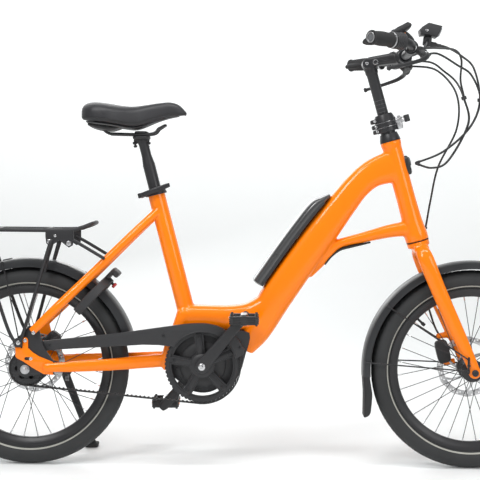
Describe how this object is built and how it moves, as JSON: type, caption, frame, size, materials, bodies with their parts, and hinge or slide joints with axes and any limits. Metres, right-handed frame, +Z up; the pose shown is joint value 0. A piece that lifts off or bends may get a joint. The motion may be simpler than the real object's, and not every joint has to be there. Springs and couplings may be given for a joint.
{
  "type": "compact electric bicycle",
  "caption": "Compact step-through electric bicycle with small wheels, belt drive, rear rack, fenders, side stand and height-adjustable cockpit.",
  "frame": {"origin": "on the ground, in the middle of the bicycle's length and width", "axes": "+X forward, +Y to the rider's left, +Z up; the drive side is -Y"},
  "size_m": [1.6874, 0.6146, 1.1506],
  "materials": {
    "orange_paint": "gloss orange powder coat",
    "black_metal": "satin black anodised and painted metal",
    "black_plastic": "moulded black plastic",
    "rubber": "matt black rubber",
    "tyre": "black tyre rubber with a pale reflective stripe",
    "steel": "bare steel",
    "saddle_cover": "black stitched synthetic leather"
  },
  "bodies": {
    "frame": {"main_frame": "orange_paint", "right_dropout": "black_metal", "headset_cup": "black_metal", "seat_clamp": "black_metal", "gusset_bumper": "rubber", "cable_port": "black_plastic", "motor_housing": "black_plastic", "belt_guard": "black_plastic", "drive_belt": "rubber", "rear_fender": "black_plastic", "rear_caliper": "black_metal", "rack": "black_metal", "lock_body": "black_plastic", "kickstand_bracket": "black_metal", "rear_axle": "steel", "cable_loom": "rubber"},
    "battery": {"battery": "black_plastic"},
    "seat": {"seat_post": "black_metal", "saddle_clamp": "black_metal", "saddle_rails": "steel", "saddle_shell": "black_plastic", "saddle_cushion": "saddle_cover"},
    "seat_lever": {"seat_clamp_lever": "black_metal"},
    "lock_ring": {"lock_shackle": "steel"},
    "kickstand": {"kickstand_leg": "black_metal"},
    "rear_wheel": {"rear_tyre": "tyre", "rear_rim": "black_metal", "rear_hub": "black_metal", "rear_rotor": "steel"},
    "pulley": {"rear_pulley": "black_metal"},
    "crank": {"crank_right": "black_metal", "crank_left": "black_metal", "belt_ring": "black_plastic"},
    "pedal_right": {"pedal_right": "black_plastic"},
    "pedal_left": {"pedal_left": "black_plastic"},
    "fork": {"fork": "orange_paint", "front_axle": "steel", "front_fender": "black_plastic", "front_caliper": "black_metal", "stem_clamp": "black_metal", "fork_hose": "rubber"},
    "stem_lever": {"stem_clamp_lever": "black_plastic"},
    "front_wheel": {"front_tyre": "tyre", "front_rim": "black_metal", "front_hub": "black_metal", "front_rotor": "steel"},
    "cockpit": {"stem_post": "black_metal", "stem_head": "black_metal", "handlebar": "black_metal", "grip_right": "rubber", "grip_left": "rubber", "brake_mount_right": "black_metal", "brake_mount_left": "black_metal", "display": "black_plastic", "headlight": "black_plastic", "remote_pad": "black_plastic"},
    "shifter": {"shifter_sleeve": "black_plastic"},
    "brake_right": {"brake_lever_right": "black_metal"},
    "brake_left": {"brake_lever_left": "black_metal"},
    "mode_button": {"remote_button": "rubber"}
  },
  "joints": [
    {"name": "steering", "type": "hinge", "parent": "frame", "child": "fork", "pos_m": [0.446, 0, 0.588], "axis": [-0.2742, 0, 0.9617], "range_deg": [-60, 60], "deforming": ["cable_loom"]},
    {"name": "front_wheel_spin", "type": "hinge", "parent": "fork", "child": "front_wheel", "pos_m": [0.587, 0, 0.25676], "axis": [0, 1, 0], "continuous": true},
    {"name": "rear_wheel_spin", "type": "hinge", "parent": "frame", "child": "rear_wheel", "pos_m": [-0.555, 0, 0.25676], "axis": [0, 1, 0], "continuous": true},
    {"name": "crank_spin", "type": "hinge", "parent": "frame", "child": "crank", "pos_m": [-0.105, 0, 0.268], "axis": [0, 1, 0], "continuous": true},
    {"name": "pulley_spin", "type": "hinge", "parent": "frame", "child": "pulley", "pos_m": [-0.555, -0.05, 0.25676], "axis": [0, 1, 0], "continuous": true},
    {"name": "pedal_right_spin", "type": "hinge", "parent": "crank", "child": "pedal_right", "pos_m": [0.00231, -0.137, 0.39726], "axis": [0, 1, 0], "continuous": true},
    {"name": "pedal_left_spin", "type": "hinge", "parent": "crank", "child": "pedal_left", "pos_m": [-0.21231, 0.137, 0.13874], "axis": [0, 1, 0], "continuous": true},
    {"name": "kickstand_fold", "type": "hinge", "parent": "frame", "child": "kickstand", "pos_m": [-0.485, 0.09, 0.236], "axis": [0, 1, 0], "range_deg": [0, 112]},
    {"name": "seat_height", "type": "slide", "parent": "frame", "child": "seat", "axis": [-0.2516, 0, 0.9678], "range_m": [-0.06, 0.1]},
    {"name": "seat_clamp_lever", "type": "hinge", "parent": "frame", "child": "seat_lever", "pos_m": [-0.26875, -0.014, 0.69994], "axis": [-0.2516, 0, 0.9678], "range_deg": [-150, 0]},
    {"name": "lock_closing", "type": "hinge", "parent": "frame", "child": "lock_ring", "pos_m": [-0.3973, 0, 0.432], "axis": [0.7273, 0, -0.6863], "range_deg": [-116, 0]},
    {"name": "battery_removal", "type": "slide", "parent": "frame", "child": "battery", "axis": [-0.826, 0, 0.5636], "range_m": [0, 0.09]},
    {"name": "stem_height", "type": "slide", "parent": "fork", "child": "cockpit", "axis": [-0.2742, 0, 0.9617], "range_m": [-0.035, 0.06], "deforming": ["fork_hose"]},
    {"name": "stem_clamp_lever", "type": "hinge", "parent": "fork", "child": "stem_lever", "pos_m": [0.41432, 0, 0.90332], "axis": [-0.2742, 0, 0.9617], "range_deg": [-100, 0]},
    {"name": "brake_right_pull", "type": "hinge", "parent": "cockpit", "child": "brake_right", "pos_m": [0.434, -0.203, 1.04], "axis": [-0.5593, 0.7826, -0.2732], "range_deg": [0, 15], "stiffness_Nm_per_rad": 1.2},
    {"name": "brake_left_pull", "type": "hinge", "parent": "cockpit", "child": "brake_left", "pos_m": [0.434, 0.203, 1.04], "axis": [0.5593, 0.7826, 0.2732], "range_deg": [0, 15], "stiffness_Nm_per_rad": 1.2},
    {"name": "shifter_twist", "type": "hinge", "parent": "cockpit", "child": "shifter", "pos_m": [0.375, -0.22, 1.069], "axis": [-0.7435, -0.6687, 0], "range_deg": [0, 110]},
    {"name": "mode_button_press", "type": "slide", "parent": "cockpit", "child": "mode_button", "axis": [0.3011, 0, -0.9536], "range_m": [0, 0.001], "stiffness_N_per_m": 600}
  ],
  "couplings": [
    {"joint": "pulley_spin", "follows": "crank_spin", "ratio": 2.2917}
  ]
}
